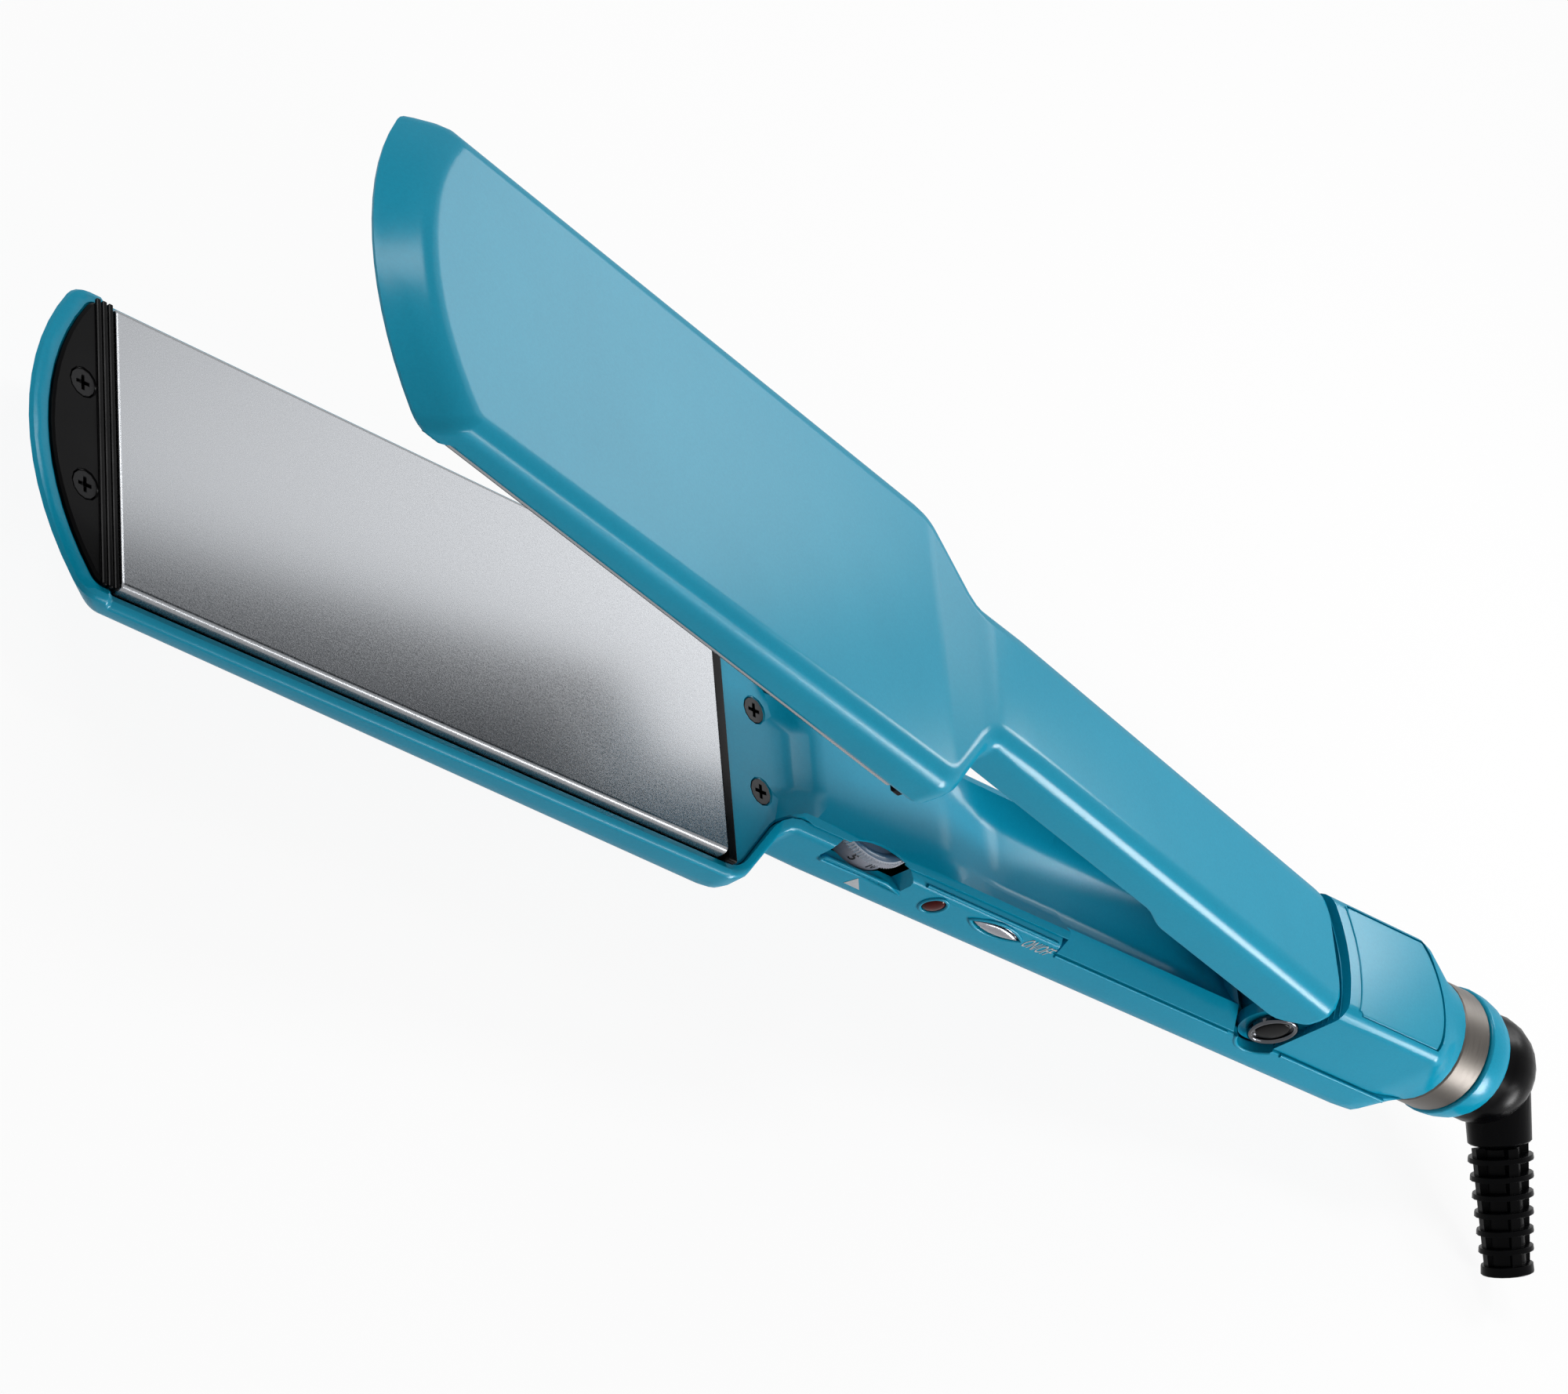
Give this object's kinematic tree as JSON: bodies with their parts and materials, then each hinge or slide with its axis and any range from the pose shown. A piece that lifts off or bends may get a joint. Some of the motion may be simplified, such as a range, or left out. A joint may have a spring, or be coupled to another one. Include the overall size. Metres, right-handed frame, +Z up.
{
  "type": "hair straightener",
  "caption": "Wide-plate hair straightening iron with two hinged sprung arms, smooth heated plates, a thumb dial, a push button and a swivelling cord outlet.",
  "frame": {"origin": "on the flat underside of the lower handle, straight below the axis of the arm hinge", "axes": "-X runs along the arms to the plates' tip and +X to the cord outlet; -Y is the side with the dial, lamp and button; +Z is up, from the lower arm to the upper arm"},
  "size_m": [0.3812, 0.0609, 0.0859],
  "materials": {
    "teal_plastic": "metallic pearl gloss",
    "titanium_plate": "satin, titanium coated",
    "black_plastic": "semi-gloss",
    "black_rubber": "satin",
    "dark_steel": "blackened",
    "black_chrome": "mirror",
    "nickel": "satin plated",
    "spring_steel": "bright",
    "ceramic": "matt",
    "circuit_board": "lacquered",
    "dial_grey": "satin",
    "led_red": "clear tinted",
    "silver_button": "satin plated",
    "lead_sleeve": "silicone sleeve"
  },
  "bodies": {
    "lower_arm": {"lower_shell": "teal_plastic", "lower_inner_cover": "teal_plastic", "lower_plate": "titanium_plate", "lower_plate_carrier": "black_plastic", "lower_tip_cap": "black_plastic", "lower_heater": "ceramic", "lower_heater_clip": "spring_steel", "lower_thermal_fuse": "nickel", "lower_tip_screw_left": "dark_steel", "lower_tip_screw_right": "dark_steel", "lower_cover_screw_left": "dark_steel", "lower_cover_screw_right": "dark_steel", "hub_housing": "teal_plastic", "hub_cover_panel": "teal_plastic", "trim_ring": "nickel", "end_collar": "teal_plastic", "hinge_pin": "spring_steel", "hinge_cap_near": "black_chrome", "hinge_cap_far": "black_chrome", "torsion_spring": "spring_steel", "control_board": "circuit_board", "potentiometer": "black_plastic", "power_switch": "black_plastic", "indicator_lens": "led_red", "indicator_lamp": "ceramic", "contact_block": "black_plastic", "mains_lead_live": "lead_sleeve", "mains_lead_neutral": "lead_sleeve"},
    "upper_arm": {"upper_shell": "teal_plastic", "upper_inner_cover": "teal_plastic", "upper_plate": "titanium_plate", "upper_plate_carrier": "black_plastic", "upper_tip_cap": "black_plastic", "upper_heater": "ceramic", "upper_heater_clip": "spring_steel", "upper_thermal_fuse": "nickel", "upper_tip_screw_left": "dark_steel", "upper_tip_screw_right": "dark_steel", "upper_cover_screw_left": "dark_steel", "upper_cover_screw_right": "dark_steel"},
    "dial": {"temperature_dial": "dial_grey"},
    "button": {"power_button": "silver_button"},
    "cord_swivel": {"swivel_elbow": "black_plastic", "cord_boot": "black_rubber", "swivel_retainer": "spring_steel", "contact_ring_inner": "spring_steel", "contact_ring_outer": "spring_steel"}
  },
  "joints": [
    {"name": "arm_hinge", "type": "hinge", "parent": "lower_arm", "child": "upper_arm", "pos_m": [0, 0, 0.0136], "axis": [0, 1, 0], "range_deg": [-12.2, 0], "stiffness_Nm_per_rad": 0.6, "springref_deg": 34.38, "deforming": ["torsion_spring"]},
    {"name": "dial_turn", "type": "hinge", "parent": "lower_arm", "child": "dial", "pos_m": [-0.1064, -0.0014, 0.0115], "axis": [0, 0, 1], "range_deg": [-190, 80]},
    {"name": "button_press", "type": "slide", "parent": "lower_arm", "child": "button", "axis": [0, 1, 0], "range_m": [0, 0.0012], "stiffness_N_per_m": 900, "springref_m": -0.0012},
    {"name": "cord_swivel_turn", "type": "hinge", "parent": "lower_arm", "child": "cord_swivel", "pos_m": [0.045, 0, 0.01405], "axis": [1, 0, 0], "continuous": true}
  ]
}
